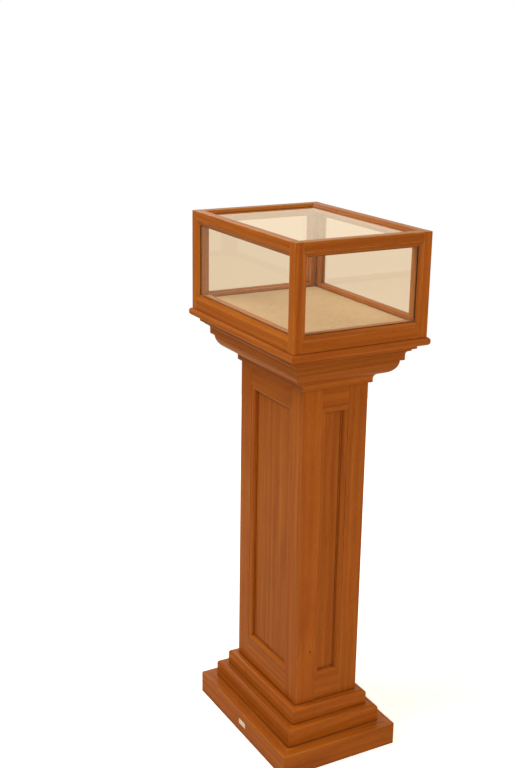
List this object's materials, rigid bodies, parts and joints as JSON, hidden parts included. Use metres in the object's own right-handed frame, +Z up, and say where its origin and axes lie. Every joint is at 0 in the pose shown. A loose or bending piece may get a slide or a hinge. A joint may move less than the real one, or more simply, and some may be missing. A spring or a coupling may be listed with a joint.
{
  "type": "display plinth",
  "caption": "Tall panelled wooden display plinth with a stepped base, moulded capital and a small glazed show case, opened by a lockable hinged door at the rear.",
  "frame": {"origin": "on the floor, under the middle of the base", "axes": "+Z up; +X along the long side, to the viewer's right; front faces -Y, door faces +Y"},
  "size_m": [0.468, 0.34, 1.22],
  "materials": {
    "varnished_wood": "satin varnish",
    "carcass_wood": "unfinished",
    "clear_glass": "clear",
    "display_cloth": "felted cloth",
    "polished_brass": "polished",
    "lock_steel": "nickel plated"
  },
  "bodies": {
    "case_and_column": {"base_boards_long": "varnished_wood", "base_boards_short": "varnished_wood", "lower_step_long": "varnished_wood", "lower_step_short": "varnished_wood", "upper_step_long": "varnished_wood", "upper_step_short": "varnished_wood", "column_stiles_front": "varnished_wood", "column_stiles_right": "varnished_wood", "column_stiles_back": "varnished_wood", "column_stiles_left": "varnished_wood", "column_rails_long": "varnished_wood", "column_rails_short": "varnished_wood", "column_panel_front": "varnished_wood", "column_panel_right": "varnished_wood", "column_panel_back": "varnished_wood", "column_panel_left": "varnished_wood", "panel_moulding_front": "varnished_wood", "panel_moulding_right": "varnished_wood", "panel_moulding_back": "varnished_wood", "panel_moulding_left": "varnished_wood", "necking_moulding": "varnished_wood", "ovolo_moulding_long": "varnished_wood", "ovolo_moulding_short": "varnished_wood", "cornice_moulding_long": "varnished_wood", "cornice_moulding_short": "varnished_wood", "capital_board": "varnished_wood", "tray_board": "varnished_wood", "case_post_front_left": "varnished_wood", "case_post_front_right": "varnished_wood", "case_post_back_left": "varnished_wood", "case_post_back_right": "varnished_wood", "case_bottom_rail_front": "varnished_wood", "case_bottom_rails_side": "varnished_wood", "case_top_rail_front": "varnished_wood", "case_top_rail_back": "varnished_wood", "case_top_rails_side": "varnished_wood", "wall_glazing_beads": "varnished_wood", "top_glazing_beads": "varnished_wood", "base_corner_blocks": "carcass_wood", "base_deck": "carcass_wood", "column_corner_blocks": "carcass_wood", "column_head_plate": "carcass_wood", "deck_cleats": "carcass_wood", "deck_board": "carcass_wood", "glass_front": "clear_glass", "glass_sides": "clear_glass", "glass_top": "clear_glass", "deck_cloth": "display_cloth", "door_stops": "polished_brass", "hinge_case_leaves": "polished_brass", "hinge_case_screws": "polished_brass", "lock_strike": "lock_steel"},
    "rear_door": {"door_stiles": "varnished_wood", "door_rails": "varnished_wood", "door_glazing_beads": "varnished_wood", "door_glass": "clear_glass", "hinge_door_leaves": "polished_brass", "hinge_door_screws": "polished_brass", "lock_barrel": "lock_steel"},
    "lock_plug": {"lock_cam": "lock_steel"}
  },
  "joints": [
    {"name": "rear_door_hinge", "type": "hinge", "parent": "case_and_column", "child": "rear_door", "pos_m": [0.197, 0.1668, 1.1], "axis": [0, 0, -1], "range_deg": [0, 170]},
    {"name": "lock_turn", "type": "hinge", "parent": "rear_door", "child": "lock_plug", "pos_m": [-0.138, 0.155, 1.007], "axis": [0, 1, 0], "range_deg": [0, 90]}
  ]
}
